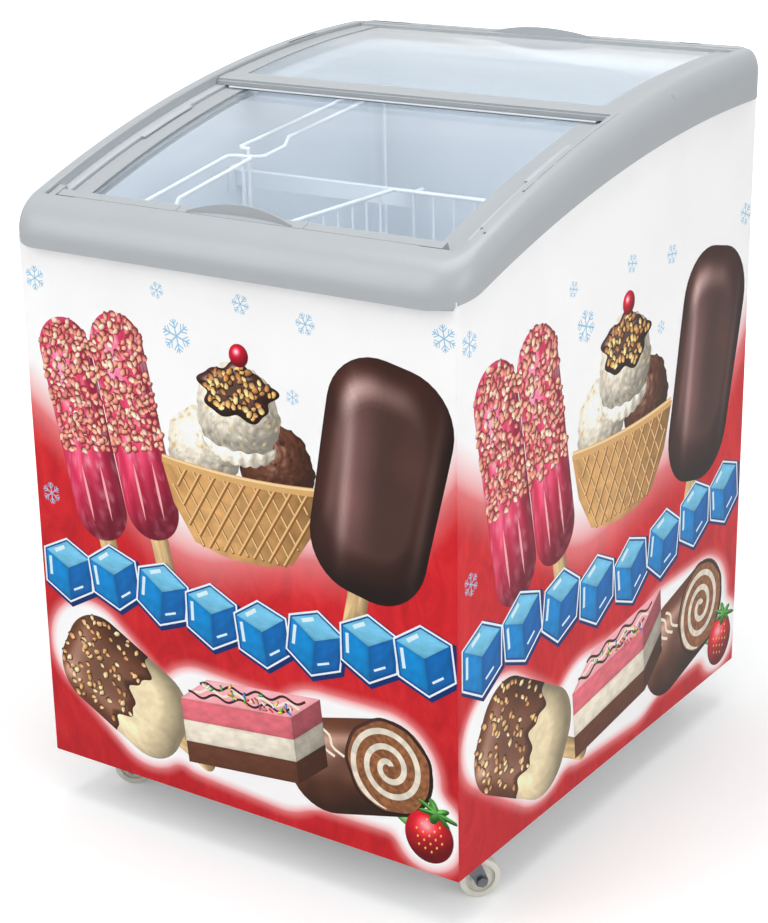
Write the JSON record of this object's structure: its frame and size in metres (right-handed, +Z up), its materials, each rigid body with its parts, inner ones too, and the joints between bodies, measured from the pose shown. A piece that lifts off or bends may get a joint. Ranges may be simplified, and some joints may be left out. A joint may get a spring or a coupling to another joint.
{
  "type": "bunker freezer",
  "caption": "Chest freezer for packed ices with a curved lid frame, curved sliding glass lids, wire basket and dividers, rear cooling plant and swivel casters.",
  "frame": {"origin": "on the floor, at the middle of the footprint of the lid frame", "axes": "+Z up, +X to the right of somebody who stands before the freezer, front of the cabinet to -Y"},
  "size_m": [0.634, 0.738, 0.919],
  "materials": {
    "shell_white": "satin",
    "foam": "matt",
    "liner_white": "satin",
    "steel_grey": "satin",
    "print_film": "gloss",
    "frame_grey": "satin",
    "lid_glass": "gloss",
    "brush_black": "matt",
    "wire_white": "gloss",
    "fork_steel": "satin",
    "wheel_nylon": "satin",
    "bolt_steel": "gloss",
    "black_paint": "satin",
    "black_plastic": "matt",
    "copper_tube": "satin"
  },
  "bodies": {
    "cabinet": {"outer_shell": "shell_white", "rear_panel": "shell_white", "rear_grille": "shell_white", "insulation": "foam", "liner": "liner_white", "machine_bulkhead": "steel_grey", "base_pan": "steel_grey", "graphic_front": "print_film", "graphic_right": "print_film", "graphic_left": "print_film", "top_frame": "frame_grey", "track_frame": "frame_grey", "end_stops": "frame_grey", "basket_rim": "wire_white", "basket_floor": "wire_white", "basket_ends": "wire_white", "basket_sides": "wire_white", "cross_rail": "wire_white", "divider_front": "wire_white", "divider_rear": "wire_white", "caster_plates": "steel_grey", "caster_bolts": "bolt_steel", "compressor": "black_paint", "compressor_feet": "brush_black", "terminal_cover": "black_plastic", "condenser": "copper_tube", "fan_shroud": "steel_grey", "fan_motor": "black_paint", "fan_stand": "steel_grey", "evaporator_tube": "copper_tube", "filter_drier": "copper_tube", "pipework": "copper_tube", "thermostat": "black_plastic", "cord_gland": "brush_black", "drain_tube": "liner_white", "grille_screws": "bolt_steel"},
    "front_lid": {"front_glass": "lid_glass", "front_bead_left": "frame_grey", "front_bead_right": "frame_grey", "front_bar": "frame_grey", "front_handle": "frame_grey", "front_tail_bar": "frame_grey"},
    "rear_lid": {"rear_glass": "lid_glass", "rear_bead_left": "frame_grey", "rear_bead_right": "frame_grey", "rear_cross_bar": "frame_grey", "cross_bar_brush": "brush_black", "rear_bar": "frame_grey", "rear_handle": "frame_grey"},
    "fan": {"fan_blades": "black_plastic"},
    "knob": {"thermostat_knob": "black_plastic"},
    "plug": {"drain_plug": "brush_black"},
    "fork_front_right": {"fork_front_right": "fork_steel"},
    "wheel_front_right": {"wheel_front_right": "wheel_nylon"},
    "fork_front_left": {"fork_front_left": "fork_steel"},
    "wheel_front_left": {"wheel_front_left": "wheel_nylon"},
    "fork_rear_right": {"fork_rear_right": "fork_steel"},
    "wheel_rear_right": {"wheel_rear_right": "wheel_nylon"},
    "fork_rear_left": {"fork_rear_left": "fork_steel"},
    "wheel_rear_left": {"wheel_rear_left": "wheel_nylon"}
  },
  "joints": [
    {"name": "rear_lid_slide", "type": "hinge", "parent": "cabinet", "child": "rear_lid", "pos_m": [0, 0.34, -0.94], "axis": [1, 0, 0], "range_deg": [0, 9.6]},
    {"name": "front_lid_slide", "type": "hinge", "parent": "cabinet", "child": "front_lid", "pos_m": [0, 0.34, -0.94], "axis": [1, 0, 0], "range_deg": [-9.6, 0]},
    {"name": "swivel_front_right", "type": "hinge", "parent": "cabinet", "child": "fork_front_right", "pos_m": [0.264, -0.284, 0.058], "axis": [0, 0, 1], "continuous": true},
    {"name": "roll_front_right", "type": "hinge", "parent": "fork_front_right", "child": "wheel_front_right", "pos_m": [0.27738, -0.26914, 0.025], "axis": [0.7431, -0.6691, 0], "continuous": true},
    {"name": "swivel_front_left", "type": "hinge", "parent": "cabinet", "child": "fork_front_left", "pos_m": [-0.264, -0.284, 0.058], "axis": [0, 0, 1], "continuous": true},
    {"name": "roll_front_left", "type": "hinge", "parent": "fork_front_left", "child": "wheel_front_left", "pos_m": [-0.24668, -0.274, 0.025], "axis": [0.5, -0.866, 0], "continuous": true},
    {"name": "swivel_rear_right", "type": "hinge", "parent": "cabinet", "child": "fork_rear_right", "pos_m": [0.232, 0.286, 0.058], "axis": [0, 0, 1], "continuous": true},
    {"name": "roll_rear_right", "type": "hinge", "parent": "fork_rear_right", "child": "wheel_rear_right", "pos_m": [0.232, 0.306, 0.025], "axis": [1, 0, 0], "continuous": true},
    {"name": "swivel_rear_left", "type": "hinge", "parent": "cabinet", "child": "fork_rear_left", "pos_m": [-0.232, 0.286, 0.058], "axis": [0, 0, 1], "continuous": true},
    {"name": "roll_rear_left", "type": "hinge", "parent": "fork_rear_left", "child": "wheel_rear_left", "pos_m": [-0.232, 0.306, 0.025], "axis": [1, 0, 0], "continuous": true},
    {"name": "fan_spin", "type": "hinge", "parent": "cabinet", "child": "fan", "pos_m": [0.052, 0.2394, 0.1612], "axis": [1, 0, 0], "continuous": true},
    {"name": "thermostat_turn", "type": "hinge", "parent": "cabinet", "child": "knob", "pos_m": [0.222, 0.36, 0.27], "axis": [0, 1, 0], "range_deg": [0, 300]},
    {"name": "drain_plug_lift", "type": "slide", "parent": "cabinet", "child": "plug", "axis": [0, 0, 1], "range_m": [0, 0.04]}
  ]
}
